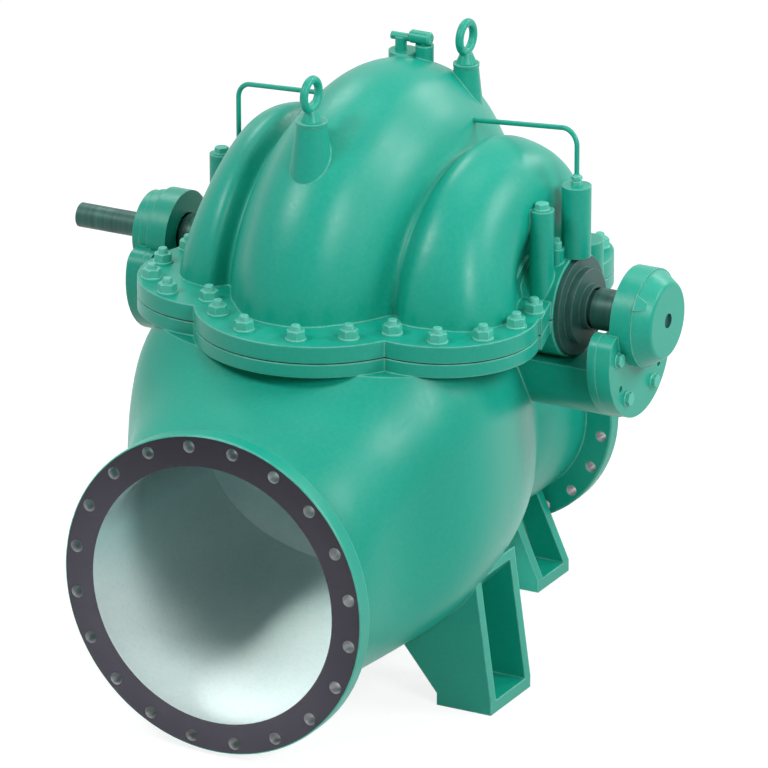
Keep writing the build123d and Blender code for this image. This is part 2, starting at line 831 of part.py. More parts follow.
with BuildPart() as closed_bearing_housing:
    with BuildSketch(along_shaft(closed_housing_start_x, 1)):
        Circle(closed_housing_r)
    extrude(amount=closed_housing_end_x - closed_housing_start_x)
    with BuildSketch(along_shaft(bracket_end_x, 1)):
        add(bracket_outline())
    extrude(amount=housing_foot_end_x - bracket_end_x)
    with BuildSketch(along_shaft(housing_foot_end_x - dowel_hole_depth, 1)):
        with Locations(*turned_places(bracket_bolt_circle_r, dowel_angles)):
            Circle(dowel_hole_r)
    extrude(amount=dowel_hole_depth, mode=Mode.SUBTRACT)
    with BuildSketch(along_shaft(bracket_end_x, 1)):
        Circle(shaft_r + running_clearance)
    extrude(amount=closed_housing_end_x - bracket_end_x, mode=Mode.SUBTRACT)
    with BuildSketch(along_shaft(bracket_end_x, 1)):
        Circle(housing_seat_r)
    extrude(amount=closed_housing_start_x - bracket_end_x + housing_seat_depth, mode=Mode.SUBTRACT)
closed_bearing_housing.part.label = "closed_bearing_housing"
export_step(closed_bearing_housing.part, "parts/closed_bearing_housing.step")

# Parts that come in pairs, one on each end of the shaft
pair_ends = (
    ("drive", -1, drive_box_end_x, drive_flush_x, drive_flush_boss_top, drive_housing_start_x),
    ("closed", 1, closed_box_end_x, closed_flush_x, closed_flush_boss_top, closed_housing_start_x),
)
for end, flush_pipe in zip(pair_ends, flush_pipes):
    name, side, box_end_x, flush_x, flush_boss_top, housing_start_x = end
    gland_body_x = box_end_x + gland_flange_thickness
    gland_nose_x = gland_body_x + gland_body_thickness
    gland_end_x = gland_nose_x + gland_nose_length
    sleeve_end_x = housing_start_x - deflector_gap
    with BuildPart() as gland:
        for radius, start_x, end_x in (
            (gland_flange_r, box_end_x, gland_body_x),
            (gland_body_r, gland_body_x, gland_nose_x),
            (gland_nose_r, gland_nose_x, gland_end_x),
        ):
            with BuildSketch(along_shaft(start_x, side)):
                Circle(radius)
            extrude(amount=end_x - start_x)
        with BuildSketch(along_shaft(box_end_x, side)):
            Circle(sleeve_r + free_clearance)
        extrude(amount=gland_end_x - box_end_x, mode=Mode.SUBTRACT)
    gland.part.label = name + "_gland"
    export_step(gland.part, "parts/" + name + "_gland.step")

    with BuildPart() as bracket_bolts:
        with BuildSketch(along_shaft(housing_foot_end_x, side)):
            with Locations(*turned_places(bracket_bolt_circle_r, bracket_bolt_angles)):
                RegularPolygon(bracket_bolt_flats_half, 6, major_radius=False)
        extrude(amount=bracket_bolt_height)
    bracket_bolts.part.label = name + "_bracket_bolts"
    export_step(bracket_bolts.part, "parts/" + name + "_bracket_bolts.step")

    with BuildPart() as flush_nut:
        with BuildSketch(level(flush_boss_top, side * flush_x, flush_boss_y)):
            Circle(flush_nut_r)
        extrude(amount=flush_nut_height)
        fillet(flush_nut.edges().group_by(Axis.Z)[-1], flush_nut_rounding)
    flush_nut.part.label = name + "_flush_nut"
    export_step(flush_nut.part, "parts/" + name + "_flush_nut.step")

    flush_pipe.label = name + "_flush_pipe"
    export_step(flush_pipe, "parts/" + name + "_flush_pipe.step")

    with BuildPart() as box_plug:
        with BuildSketch(level(box_plug_boss_top, side * box_plug_x, box_plug_y)):
            Circle(box_plug_r)
        extrude(amount=box_plug_height)
        with BuildSketch(level(box_plug_boss_top + box_plug_height, side * box_plug_x, box_plug_y)):
            RegularPolygon(box_plug_flats_half, 4, major_radius=False)
        extrude(amount=box_plug_head_height)
    box_plug.part.label = name + "_box_plug"
    export_step(box_plug.part, "parts/" + name + "_box_plug.step")

    with BuildPart() as shaft_sleeve:
        with BuildSketch(along_shaft(sleeve_start_x, side)):
            Circle(sleeve_r)
            Circle(shaft_r, mode=Mode.SUBTRACT)
        extrude(amount=sleeve_end_x - sleeve_start_x)
        with BuildSketch(along_shaft(gland_end_x + sleeve_nut_gap, side)):
            Circle(sleeve_nut_r)
            Circle(shaft_r, mode=Mode.SUBTRACT)
        extrude(amount=sleeve_end_x - deflector_thickness - gland_end_x - sleeve_nut_gap)
    shaft_sleeve.part.label = name + "_shaft_sleeve"
    export_step(shaft_sleeve.part, "parts/" + name + "_shaft_sleeve.step")

    with BuildPart() as deflector:
        with BuildSketch(along_shaft(sleeve_end_x - deflector_thickness, side)):
            Circle(deflector_r)
            Circle(sleeve_r, mode=Mode.SUBTRACT)
        extrude(amount=deflector_thickness)
    deflector.part.label = name + "_deflector"
    export_step(deflector.part, "parts/" + name + "_deflector.step")

    with BuildPart() as wear_ring:
        with BuildSketch(along_shaft(chamber_half_width - wear_ring_thickness, side)):
            Circle(wear_ring_r)
            Circle(wear_ring_bore_r, mode=Mode.SUBTRACT)
        extrude(amount=wear_ring_thickness)
    wear_ring.part.label = name + "_wear_ring"
    export_step(wear_ring.part, "parts/" + name + "_wear_ring.step")

# Drive-end bearing cover, open for the shaft
with BuildPart() as drive_bearing_cover:
    with BuildSketch(along_shaft(housing_foot_end_x, -1)):
        Circle(drive_cover_r)
        Circle(shaft_r + free_clearance, mode=Mode.SUBTRACT)
    extrude(amount=drive_cover_end_x - housing_foot_end_x)
drive_bearing_cover.part.label = "drive_bearing_cover"
export_step(drive_bearing_cover.part, "parts/drive_bearing_cover.step")

# Closed-end bearing cap, with room inside for the shaft's end
with BuildPart() as closed_bearing_cap:
    with BuildSketch(along_shaft(closed_housing_end_x, 1)):
        Circle(cap_r)
    with BuildSketch(along_shaft(cap_end_x, 1)):
        Circle(cap_end_r)
    loft()
    fillet(closed_bearing_cap.edges().group_by(Axis.X)[-1], cap_rounding)
    for size, reach, x in (
        (cap_rib_base, cap_rib_base_r, closed_housing_end_x),
        (cap_rib_tip, cap_rib_tip_r, cap_rib_tip_x),
    ):
        with BuildSketch(along_shaft(x, 1)):
            with Locations(Location((0, 0, 0), (0, 0, cap_rib_turn))):
                with Locations((reach, 0)):
                    Rectangle(*size)
    loft()
    with BuildSketch(along_shaft(closed_housing_end_x, 1)):
        Circle(housing_seat_r)
    extrude(amount=cap_cavity_end_x - closed_housing_end_x, mode=Mode.SUBTRACT)
    with BuildSketch(along_shaft(cap_end_x - cap_recess_depth, 1)):
        Circle(cap_recess_r)
    extrude(amount=cap_recess_depth, mode=Mode.SUBTRACT)
closed_bearing_cap.part.label = "closed_bearing_cap"
export_step(closed_bearing_cap.part, "parts/closed_bearing_cap.step")

# Lifting eyes
for name, x, y, top in (
    ("front_lifting_eye", front_eye_x, front_eye_y, front_eye_boss_top),
    ("back_lifting_eye", back_eye_x, back_eye_y, back_eye_boss_top),
):
    ring_z = top + eye_collar_height + eye_ring_r + eye_wire_r - eye_ring_sink
    with BuildPart() as lifting_eye:
        with BuildSketch(level(top, x, y)):
            Circle(eye_collar_r)
        with BuildSketch(level(top + eye_collar_height, x, y)):
            Circle(eye_collar_r - eye_wire_r)
        loft()
        with BuildSketch(Plane(origin=world(x, y, ring_z), x_dir=(0, 1, 0), z_dir=(0, 0, 1))):
            with Locations((eye_ring_r, 0)):
                Circle(eye_wire_r)
        revolve(axis=Axis(world(x, y, ring_z), (1, 0, 0)))
    lifting_eye.part.label = name
    export_step(lifting_eye.part, "parts/" + name + ".step")

# Priming cock on the crown, and its handle on the pad beside it
with BuildPart() as priming_cock:
    with BuildSketch(Plane(
        origin=world(cock_x - cock_body_length / 2, cock_y, cock_boss_top + cock_body_r),
        x_dir=(0, 1, 0),
        z_dir=(1, 0, 0),
    )):
        Circle(cock_body_r)
    extrude(amount=cock_body_length)
    chamfer(priming_cock.edges().filter_by(GeomType.CIRCLE), cock_chamfer)
    with BuildSketch(level(cock_boss_top, cock_boss_x, cock_y)):
        Circle(cock_neck_r)
    extrude(amount=cock_body_r)
priming_cock.part.label = "priming_cock"
export_step(priming_cock.part, "parts/priming_cock.step")

with BuildPart() as priming_cock_handle:
    with BuildSketch(Plane(
        origin=world(handle_x - handle_length / 2, cock_y, handle_height),
        x_dir=(0, 1, 0),
        z_dir=(1, 0, 0),
    )):
        Circle(handle_r)
    extrude(amount=handle_length)
    with BuildSketch(level(handle_pad_top, handle_x, cock_y)):
        Circle(handle_neck_r)
    extrude(amount=handle_height - handle_pad_top)
priming_cock_handle.part.label = "priming_cock_handle"
export_step(priming_cock_handle.part, "parts/priming_cock_handle.step")

# Shaft with its drive stub and open keyway
with BuildPart() as shaft:
    with BuildSketch(along_shaft(-drive_step_x, 1)):
        Circle(shaft_r)
    extrude(amount=drive_step_x + shaft_closed_end_x)
    with BuildSketch(along_shaft(drive_step_x, -1)):
        Circle(drive_stub_r)
    extrude(amount=drive_stub_end_x - drive_step_x)
    keyway_centre_x = -(drive_stub_end_x - keyway_end_gap - keyway_length / 2)
    turn = math.radians(keyway_turn)
    floor_r = drive_stub_r - keyway_depth
    with BuildSketch(Plane(
        origin=world(keyway_centre_x, floor_r * math.cos(turn), floor_r * math.sin(turn)),
        x_dir=(1, 0, 0),
        z_dir=(0, math.cos(turn), math.sin(turn)),
    )):
        SlotOverall(keyway_length, keyway_width)
    extrude(amount=keyway_depth + keyway_depth, mode=Mode.SUBTRACT)
shaft.part.label = "shaft"
export_step(shaft.part, "parts/shaft.step")

# Double-suction impeller with a turned hub and web, curved vanes and two shrouds
upright_half = Plane(origin=world(0, 0, 0), x_dir=(1, 0, 0), z_dir=(0, -1, 0))
shaft_axis = Axis(world(0, 0, 0), (1, 0, 0))
with BuildPart() as impeller:
    with BuildSketch(upright_half):
        with BuildLine():
            Polyline(
                (-impeller_hub_half_length, shaft_r),
                (-impeller_hub_half_length, impeller_hub_r),
                (-impeller_web_root_x, impeller_hub_r + impeller_hub_rise),
                (-impeller_web_half_thickness, impeller_web_r),
                (-impeller_web_half_thickness, impeller_r),
                (impeller_web_half_thickness, impeller_r),
                (impeller_web_half_thickness, impeller_web_r),
                (impeller_web_root_x, impeller_hub_r + impeller_hub_rise),
                (impeller_hub_half_length, impeller_hub_r),
                (impeller_hub_half_length, shaft_r),
                close=True,
            )
        make_face()
    revolve(axis=shaft_axis)
    for side in (1, -1):
        with BuildSketch(upright_half):
            with BuildLine():
                Polyline(
                    (side * impeller_half_width, impeller_eye_r),
                    (side * impeller_half_width, impeller_eye_r + shroud_thickness),
                    (side * shroud_shoulder_x, impeller_eye_r + shroud_thickness),
                    (side * shroud_tip_x, impeller_r),
                    (side * (shroud_tip_x - shroud_thickness), impeller_r),
                    (side * (shroud_shoulder_x - shroud_thickness), impeller_eye_r),
                    close=True,
                )
            make_face()
        revolve(axis=shaft_axis)
    with BuildSketch(along_shaft(-vane_half_width, 1)):
        with PolarLocations(0, vane_count):
            add(vane_outline())
    extrude(amount=2 * vane_half_width)
impeller.part.label = "impeller"
export_step(impeller.part, "parts/impeller.step")
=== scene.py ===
import math
import bmesh
import bpy
from mathutils import Matrix, Vector


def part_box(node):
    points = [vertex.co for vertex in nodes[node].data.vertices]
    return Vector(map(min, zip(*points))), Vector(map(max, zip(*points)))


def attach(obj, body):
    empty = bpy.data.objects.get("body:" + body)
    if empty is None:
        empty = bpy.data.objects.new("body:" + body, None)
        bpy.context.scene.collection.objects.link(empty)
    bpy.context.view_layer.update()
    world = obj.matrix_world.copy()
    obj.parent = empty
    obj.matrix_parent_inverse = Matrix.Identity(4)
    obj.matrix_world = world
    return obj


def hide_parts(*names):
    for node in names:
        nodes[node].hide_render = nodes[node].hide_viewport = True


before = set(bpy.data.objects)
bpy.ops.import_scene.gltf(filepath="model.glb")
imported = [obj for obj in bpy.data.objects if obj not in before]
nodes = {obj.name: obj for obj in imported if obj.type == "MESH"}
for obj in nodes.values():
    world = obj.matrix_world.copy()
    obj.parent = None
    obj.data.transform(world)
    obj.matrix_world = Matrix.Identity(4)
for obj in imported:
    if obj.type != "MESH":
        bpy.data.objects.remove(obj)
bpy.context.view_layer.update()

# Places of the casting, in metres
SHAFT = Vector((0.0, 0.280, 0.910))
SUCTION_FACE_Y = -0.620
DISCHARGE_FACE_Y = 0.860
NOZZLE_Z = 0.4025
SUCTION_BOLT_CIRCLE = 0.3625
DISCHARGE_BOLT_CIRCLE = 0.2825
BOLT_HOLE_REACH = 0.0175
CAP_RECESS_REACH = 0.0185
FACE_SLACK = 0.0005
HOLE_DEPTH = 0.05
BORED_SLOPE = 0.2
PASSAGE_SPLIT_Y = 0.10
PASSAGE_WALL_REACH = 1.08
SUCTION_INNER_REACH = 1.03
DISCHARGE_INNER_REACH = 0.94

# Passages as place, half width, half height, axis height and squareness
SUCTION_PASSAGE = (
    (-0.620, 0.315, 0.315, 0.4025, 2.0),
    (-0.575, 0.315, 0.315, 0.4025, 2.0),
    (-0.490, 0.313, 0.314, 0.4260, 2.2),
    (-0.400, 0.324, 0.324, 0.4580, 2.5),
    (-0.300, 0.360, 0.346, 0.5020, 2.7),
    (-0.190, 0.395, 0.346, 0.5380, 2.6),
    (-0.080, 0.398, 0.320, 0.5440, 2.4),
    (0.020, 0.380, 0.290, 0.5440, 2.2),
)
DISCHARGE_PASSAGE = (
    (0.460, 0.232, 0.232, 0.5800, 2.0),
    (0.570, 0.232, 0.232, 0.4850, 2.0),
    (0.675, 0.232, 0.232, 0.4070, 2.0),
    (0.760, 0.232, 0.232, 0.4025, 2.0),
)


# Colours, written as seen on a screen
def tint(red, green, blue):
    """Screen colour from 0 to 255 as a linear colour."""
    linear = []
    for value in (red, green, blue):
        value /= 255
        linear.append(value / 12.92 if value <= 0.04045 else ((value + 0.055) / 1.055) ** 2.4)
    return (*linear, 1.0)


# Materials
class Paint:
    """Node tree of one material, with its shader ready."""

    def __init__(self, name):
        self.material = bpy.data.materials.new(name)
        self.material.use_nodes = True
        self.tree = self.material.node_tree
        self.tree.nodes.clear()
        self.output = self.add("ShaderNodeOutputMaterial")
        self.shader = self.add("ShaderNodeBsdfPrincipled")
        self.link(self.shader.outputs[0], self.output.inputs["Surface"])
        self.place = self.add("ShaderNodeTexCoord").outputs["Object"]

    def add(self, kind, **values):
        node = self.tree.nodes.new(kind)
        for key, value in values.items():
            setattr(node, key, value)
        return node

    def link(self, source, target):
        self.tree.links.new(source, target)

    def set(self, socket, value):
        self.shader.inputs[socket].default_value = value

    def noise(self, scale, detail=3.0, stretch=None):
        node = self.add("ShaderNodeTexNoise")
        node.inputs["Scale"].default_value = scale
        node.inputs["Detail"].default_value = detail
        source = self.place
        if stretch:
            mapping = self.add("ShaderNodeMapping")
            mapping.inputs["Scale"].default_value = stretch
            self.link(self.place, mapping.inputs["Vector"])
            source = mapping.outputs[0]
        self.link(source, node.inputs["Vector"])
        return node.outputs[0]

    def ranged(self, source, low, high, start, end):
        node = self.add("ShaderNodeMapRange")
        node.inputs["From Min"].default_value = low
        node.inputs["From Max"].default_value = high
        node.inputs["To Min"].default_value = start
        node.inputs["To Max"].default_value = end
        self.link(source, node.inputs["Value"])
        return node.outputs[0]

    def math(self, operation, first, second):
        node = self.add("ShaderNodeMath", operation=operation)
        for socket, value in zip(node.inputs, (first, second)):
            if isinstance(value, float):
                socket.default_value = value
            else:
                self.link(value, socket)
        return node.outputs[0]

    def blend(self, factor, first, second, kind="MIX"):
        node = self.add("ShaderNodeMix", data_type="RGBA", blend_type=kind)
        for socket, value in zip((node.inputs[0], node.inputs[6], node.inputs[7]), (factor, first, second)):
            if isinstance(value, (float, tuple)):
                socket.default_value = value
            else:
                self.link(value, socket)
        return node.outputs[2]

    def rounded(self, radius, bumps):
        """Normals rounded over edges, with fine bumps, and a mask that is high along edges."""
        bevel = self.add("ShaderNodeBevel", samples=6)
        bevel.inputs["Radius"].default_value = radius
        geometry = self.add("ShaderNodeNewGeometry")
        dot = self.add("ShaderNodeVectorMath", operation="DOT_PRODUCT")
        self.link(bevel.outputs[0], dot.inputs[0])
        self.link(geometry.outputs["Normal"], dot.inputs[1])
        normal = bevel.outputs[0]
        for source, strength, distance in bumps:
            bump = self.add("ShaderNodeBump")
            bump.inputs["Strength"].default_value = strength
            bump.inputs["Distance"].default_value = distance
            self.link(source, bump.inputs["Height"])
            self.link(normal, bump.inputs["Normal"])
            normal = bump.outputs[0]
        self.link(normal, self.shader.inputs["Normal"])
        return self.ranged(dot.outputs["Value"], 0.995, 0.90, 0.0, 1.0)

    def colour(self, base):
        self.link(base, self.shader.inputs["Base Color"])

    def roughness(self, source, low, high):
        self.link(self.ranged(source, 0.3, 0.7, low, high), self.shader.inputs["Roughness"])


def enamel(name, deep, light, edge, edge_radius, grain, roughness=0.36, wear_and_highlight=0.75, gloss=0.38):
    """Sprayed enamel over a cast or machined surface, thinner and paler along edges; the pale edges are
    partly wear and partly a painted highlight.
    """
    paint = Paint(name)
    clouds = paint.noise(1.7, 4.0)
    grit = paint.noise(grain, 4.0)
    peel = paint.noise(420.0, 2.0)
    base = paint.blend(paint.ranged(clouds, 0.3, 0.7, 0.0, 1.0), deep, light)
    base = paint.blend(paint.ranged(grit, 0.4, 0.8, 0.0, 0.05), base, edge)
    mask = paint.rounded(edge_radius, ((grit, 0.20, 0.0006), (peel, 0.25, 0.0003)))
    # Paler along edges, in patches: partly worn paint, partly a painted highlight
    patches = paint.ranged(paint.noise(38.0, 5.0), 0.3, 0.62, wear_and_highlight / 2, wear_and_highlight)
    worn_and_highlit = paint.math("MULTIPLY", mask, patches)
    base = paint.blend(worn_and_highlit, base, edge)
    paint.colour(base)
    paint.roughness(grit, roughness - 0.04, roughness + 0.06)
    paint.set("Specular IOR Level", gloss)
    return paint.material


def steel(name, dark, light, roughness, metallic, stretch):
    """Turned or oiled steel with fine lines round the shaft, and a painted highlight along edges."""
    paint = Paint(name)
    lines = paint.noise(90.0, 5.0, stretch)
    stain = paint.noise(14.0, 4.0)
    base = paint.blend(paint.ranged(lines, 0.35, 0.65, 0.0, 1.0), dark, light)
    base = paint.blend(paint.ranged(stain, 0.45, 0.7, 0.0, 0.5), base, dark)
    mask = paint.rounded(0.0012, ((lines, 0.25, 0.0002), (stain, 0.15, 0.0004)))
    # Pale along edges: a painted highlight
    base = paint.blend(paint.math("MULTIPLY", mask, 0.7), base, tint(196, 200, 202))
    paint.colour(base)
    paint.roughness(stain, roughness, roughness + 0.18)
    paint.set("Metallic", metallic)
    return paint.material


def lining():
    """Pale epoxy lining of the nozzles, dull, with painted shade that darkens it towards the top and deeper
    inside.
    """
    paint = Paint("nozzle_lining")
    split = paint.add("ShaderNodeSeparateXYZ")
    paint.link(paint.place, split.inputs[0])
    flow = paint.noise(5.0, 5.0, (1.0, 0.35, 1.0))
    grit = paint.noise(120.0, 4.0)
    # Painted shade: darker towards the top of the bore and deeper inside, down to near black, with random
    # mottling added
    depth = paint.ranged(split.outputs["Y"], SUCTION_FACE_Y, -0.1, 0.0, 1.0)
    height = paint.ranged(split.outputs["Z"], NOZZLE_Z - 0.10, NOZZLE_Z + 0.27, 0.0, 1.0)
    mottled = paint.ranged(flow, 0.3, 0.7, -0.12, 0.12)
    painted_shade_and_mottling = paint.math("ADD", paint.math("MULTIPLY", height, 0.88), paint.math("MULTIPLY", depth, 0.22))
    painted_shade_and_mottling = paint.math("ADD", painted_shade_and_mottling, mottled)
    ramp = paint.add("ShaderNodeValToRGB")
    stops = ramp.color_ramp.elements
    stops[0].position = 0.05
    stops[0].color = tint(234, 251, 248)
    stops[1].position = 1.0
    stops[1].color = tint(30, 32, 36)
    middle = stops.new(0.5)
    middle.color = tint(192, 228, 227)
    paint.link(painted_shade_and_mottling, ramp.inputs[0])
    base = paint.blend(paint.ranged(grit, 0.45, 0.8, 0.0, 0.08), ramp.outputs[0], tint(96, 120, 118))
    paint.rounded(0.003, ((grit, 0.3, 0.0006), (flow, 0.2, 0.002)))
    paint.colour(base)
    paint.roughness(grit, 0.42, 0.6)
    return paint.material


casting_green = enamel(
    "casting_enamel", tint(6, 160, 137), tint(14, 166, 143), tint(140, 218, 200),
    edge_radius=0.006, grain=95.0,
)
housing_green = enamel(
    "housing_enamel", tint(8, 162, 138), tint(18, 170, 146), tint(150, 220, 204),
    edge_radius=0.003, grain=110.0,
)
fastener_green = enamel(
    "fastener_enamel", tint(60, 182, 160), tint(88, 198, 178), tint(186, 232, 220),
    edge_radius=0.0016, grain=180.0, roughness=0.38,
)
face_dark = enamel(
    "flange_face_primer", tint(41, 39, 47), tint(50, 48, 56), tint(90, 88, 98),
    edge_radius=0.002, grain=140.0, roughness=0.55, wear_and_highlight=0.3, gloss=0.14,
)
gland_dark = enamel(
    "gland_iron", tint(40, 84, 77), tint(54, 98, 92), tint(112, 140, 134),
    edge_radius=0.004, grain=110.0, roughness=0.45, wear_and_highlight=0.5,
)
gasket_dark = enamel(
    "gasket_sheet", tint(14, 24, 22), tint(20, 30, 28), tint(40, 50, 48),
    edge_radius=0.0005, grain=220.0, roughness=0.7, wear_and_highlight=0.1,
)
shaft_steel = steel(
    "shaft_steel", tint(29, 75, 66), tint(48, 105, 95),
    roughness=0.34, metallic=0.2, stretch=(1.0, 0.05, 0.05),
)
# Pale hole walls: painted light, standing in for the light seen through the bolt holes
hole_steel_painted_light = steel(
    "hole_wall", tint(150, 150, 154), tint(206, 206, 208),
    roughness=0.4, metallic=0.3, stretch=(1.0, 0.2, 1.0),
)
bronze = steel(
    "bronze", tint(128, 98, 58), tint(168, 134, 82),
    roughness=0.38, metallic=0.8, stretch=(1.0, 0.2, 0.2),
)
pale_lining = lining()
# Painted shade in the recess round the shaft in the closed bearing cap
recess_dark = enamel(
    "recess_shade", tint(31, 90, 84), tint(40, 101, 95), tint(70, 130, 120),
    edge_radius=0.001, grain=150.0, roughness=0.5, wear_and_highlight=0.2,
)


def dress(name, material):
    """Gives a node one material."""
    mesh = nodes[name].data
    mesh.materials.clear()
    mesh.materials.append(material)


for name in nodes:
    if "wear_ring" in name or name == "impeller":
        dress(name, bronze)
    elif "gasket" in name:
        dress(name, gasket_dark)
    elif "gland" in name or "deflector" in name:
        dress(name, gland_dark)
    elif "shaft" in name:
        dress(name, shaft_steel)
    elif "casing" in name:
        dress(name, casting_green)
    else:
        dress(name, housing_green)


def dress_nozzles():
    """Dark faces, pale linings and bare bolt holes on the lower casing; the holes' walls are painted pale,
    standing in for light seen through them.
    """
    mesh = nodes["lower_casing"].data
    for material in (face_dark, pale_lining, hole_steel_painted_light):
        mesh.materials.append(material)
    for polygon in mesh.polygons:
        centre = polygon.center
        across = math.hypot(centre.x, centre.z - NOZZLE_Z)
        suction = centre.y < SHAFT.y
        face_y = SUCTION_FACE_Y if suction else DISCHARGE_FACE_Y
        bolt_circle = SUCTION_BOLT_CIRCLE if suction else DISCHARGE_BOLT_CIRCLE
        to_face = abs(centre.y - face_y)
        bored = abs(across - bolt_circle) < BOLT_HOLE_REACH and abs(polygon.normal.y) < BORED_SLOPE
        if to_face < FACE_SLACK:
            polygon.material_index = 1
        elif to_face < HOLE_DEPTH and bored:
            polygon.material_index = 3
        elif inward(polygon, centre):
            polygon.material_index = 2


def eased(y, stations):
    """Half width, half height, axis height and squareness of a passage at a place along it."""
    for first, last in zip(stations, stations[1:]):
        if y < last[0]:
            share = max(y - first[0], 0.0) / (last[0] - first[0])
            return [start + (end - start) * share for start, end in zip(first[1:], last[1:])]
    return stations[-1][1:]


def inward(polygon, centre):
    """True where a face of the lower casing looks into a nozzle's passage."""
    suction = centre.y < PASSAGE_SPLIT_Y
    stations = SUCTION_PASSAGE if suction else DISCHARGE_PASSAGE
    inner_reach = SUCTION_INNER_REACH if suction else DISCHARGE_INNER_REACH
    half_width, half_height, axis_z, squareness = eased(centre.y, stations)
    across = abs(centre.x) / half_width
    along = abs(centre.z - axis_z) / half_height
    reach = (across ** squareness + along ** squareness) ** (1 / squareness)
    to_axis = Vector((-centre.x, 0.0, axis_z - centre.z))
    return reach < inner_reach or (reach < PASSAGE_WALL_REACH and polygon.normal.dot(to_axis) > 0)


def dress_recess(name, reach):
    """Dark material, painted shade of a recess, where a node's faces lie close to the shaft's line."""
    mesh = nodes[name].data
    mesh.materials.append(recess_dark)
    for polygon in mesh.polygons:
        centre = polygon.center
        if math.hypot(centre.y - SHAFT.y, centre.z - SHAFT.z) < reach:
            polygon.material_index = 1


dress_nozzles()
dress_recess("closed_bearing_cap", CAP_RECESS_REACH)


# Fasteners and fittings with chamfers, washers and threaded ends, built in place of the plain solids
FACETS = 36
SPLIT_NUT_REACH = 0.059
POST_BOLT_REACH = 0.075
BRACKET_BOLT_REACH = 0.06
WASHER_CHAMFER = 0.001
CROWN_SHARE = 0.94
CORNER_FALL = 0.55
THREAD_ROOT_SHARE = 0.93
THREAD_TIP_SHARE = 0.8


def clusters(name, reach):
    """Lowest and highest corners of each like solid of a node."""
    groups = []
    for vertex in nodes[name].data.vertices:
        for group in groups:
            if (vertex.co - group[0]).length < reach:
                group.append(vertex.co)
                break
        else:
            groups.append([vertex.co])
    corners = []
    for group in groups:
        low = Vector([min(point[axis] for point in group) for axis in range(3)])
        high = Vector([max(point[axis] for point in group) for axis in range(3)])
        corners.append((low, high))
    return corners


def skin(mesh, rings):
    """Closed skin over rings of points, capped at both ends."""
    made = [[mesh.verts.new(point) for point in ring] for ring in rings]
    for lower, upper in zip(made, made[1:]):
        for index in range(len(lower)):
            following = (index + 1) % len(lower)
            mesh.faces.new((lower[index], lower[following], upper[following], upper[index]))
    mesh.faces.new(list(reversed(made[0])))
    mesh.faces.new(made[-1])


def circle(place, radius, height):
    points = []
    for index in range(FACETS):
        angle = 2 * math.pi * index / FACETS
        points.append(place @ Vector((radius * math.cos(angle), radius * math.sin(angle), height)))
    return points


def turned_piece(mesh, place, profile):
    """Solid of revolution through pairs of radius and height."""
    skin(mesh, [circle(place, radius, height) for radius, height in profile])


def sided_piece(mesh, place, sides, flats, start, end):
    """Nut, bolt head or square head with its corners chamfered at the far end."""
    bottom, edge, top = [], [], []
    crown = flats * CROWN_SHARE
    sector = 2 * math.pi / sides
    for index in range(FACETS):
        angle = 2 * math.pi * index / FACETS
        reach = flats / math.cos((angle + sector / 2) % sector - sector / 2)
        across = Vector((math.cos(angle), math.sin(angle), 0.0))
        bottom.append(place @ (across * reach + Vector((0.0, 0.0, start))))
        edge.append(place @ (across * reach + Vector((0.0, 0.0, end - (reach - crown) * CORNER_FALL))))
        top.append(place @ (across * crown + Vector((0.0, 0.0, end))))
    skin(mesh, [bottom, edge, top])


def washer(mesh, place, radius, edge, height):
    """Flat washer with its upper edge chamfered from a height up."""
    turned_piece(mesh, place, ((radius, 0.0), (radius, edge), (radius - WASHER_CHAMFER, height)))


def thread(radius, start, end, pitch=0.003):
    """Profile of a threaded end with a chamfered tip."""
    profile = [(radius, start)]
    turns = int((end - start - pitch) / pitch)
    for turn in range(turns):
        profile.append((radius * THREAD_ROOT_SHARE, start + (turn + 0.5) * pitch))
        profile.append((radius, start + (turn + 1.0) * pitch))
    profile.append((radius * THREAD_TIP_SHARE, end))
    return profile


def finish_piece(mesh, name, body, material, replaced):
    """Turns a mesh into a shown object that rides on a body in place of its nodes."""
    bmesh.ops.recalc_face_normals(mesh, faces=mesh.faces)
    data = bpy.data.meshes.new(name)
    mesh.to_mesh(data)
    mesh.free()
    data.materials.append(material)
    obj = bpy.data.objects.new(name, data)
    bpy.context.scene.collection.objects.link(obj)
    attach(obj, body)
    if replaced:
        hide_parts(*replaced)
    return obj


def upright(low, high, turn=0.0):
    """Place at the foot of a box, on its upright middle line."""
    middle = (low + high) / 2
    return Matrix.Translation((middle.x, middle.y, low.z)) @ Matrix.Rotation(math.radians(turn), 4, "Z")


def outward(low, high, side, turn=0.0):
    """Place at the inner end of a box, with its own Z along the shaft and away from the middle."""
    middle = (low + high) / 2
    seat = low.x if side > 0 else high.x
    lean = Matrix.Rotation(math.radians(90 * side), 4, "Y")
    return Matrix.Translation((seat, middle.y, middle.z)) @ lean @ Matrix.Rotation(math.radians(turn), 4, "Z")


# Nuts with their studs' ends on the split flange, each turned a little differently
mesh = bmesh.new()
for index, (low, high) in enumerate(clusters("split_flange_nuts", SPLIT_NUT_REACH)):
    place = upright(low, high, 17.0 * (index % 7))
    washer(mesh, place, radius=0.0250, edge=0.0030, height=0.0040)
    sided_piece(mesh, place, 6, flats=0.0200, start=0.0040, end=0.0240)
    turned_piece(mesh, place, thread(0.0118, 0.0230, high.z - low.z))
finish_piece(mesh, "flange_nuts_detailed", "casing", fastener_green, ["split_flange_nuts"])

# Bolt heads on the two side posts
mesh = bmesh.new()
for low, high in clusters("side_post_bolts", POST_BOLT_REACH):
    place = upright(low, high, 12.0)
    washer(mesh, place, radius=0.0200, edge=0.0025, height=0.0030)
    sided_piece(mesh, place, 6, flats=0.0150, start=0.0030, end=high.z - low.z)
finish_piece(mesh, "post_bolts_detailed", "casing", fastener_green, ["side_post_bolts"])

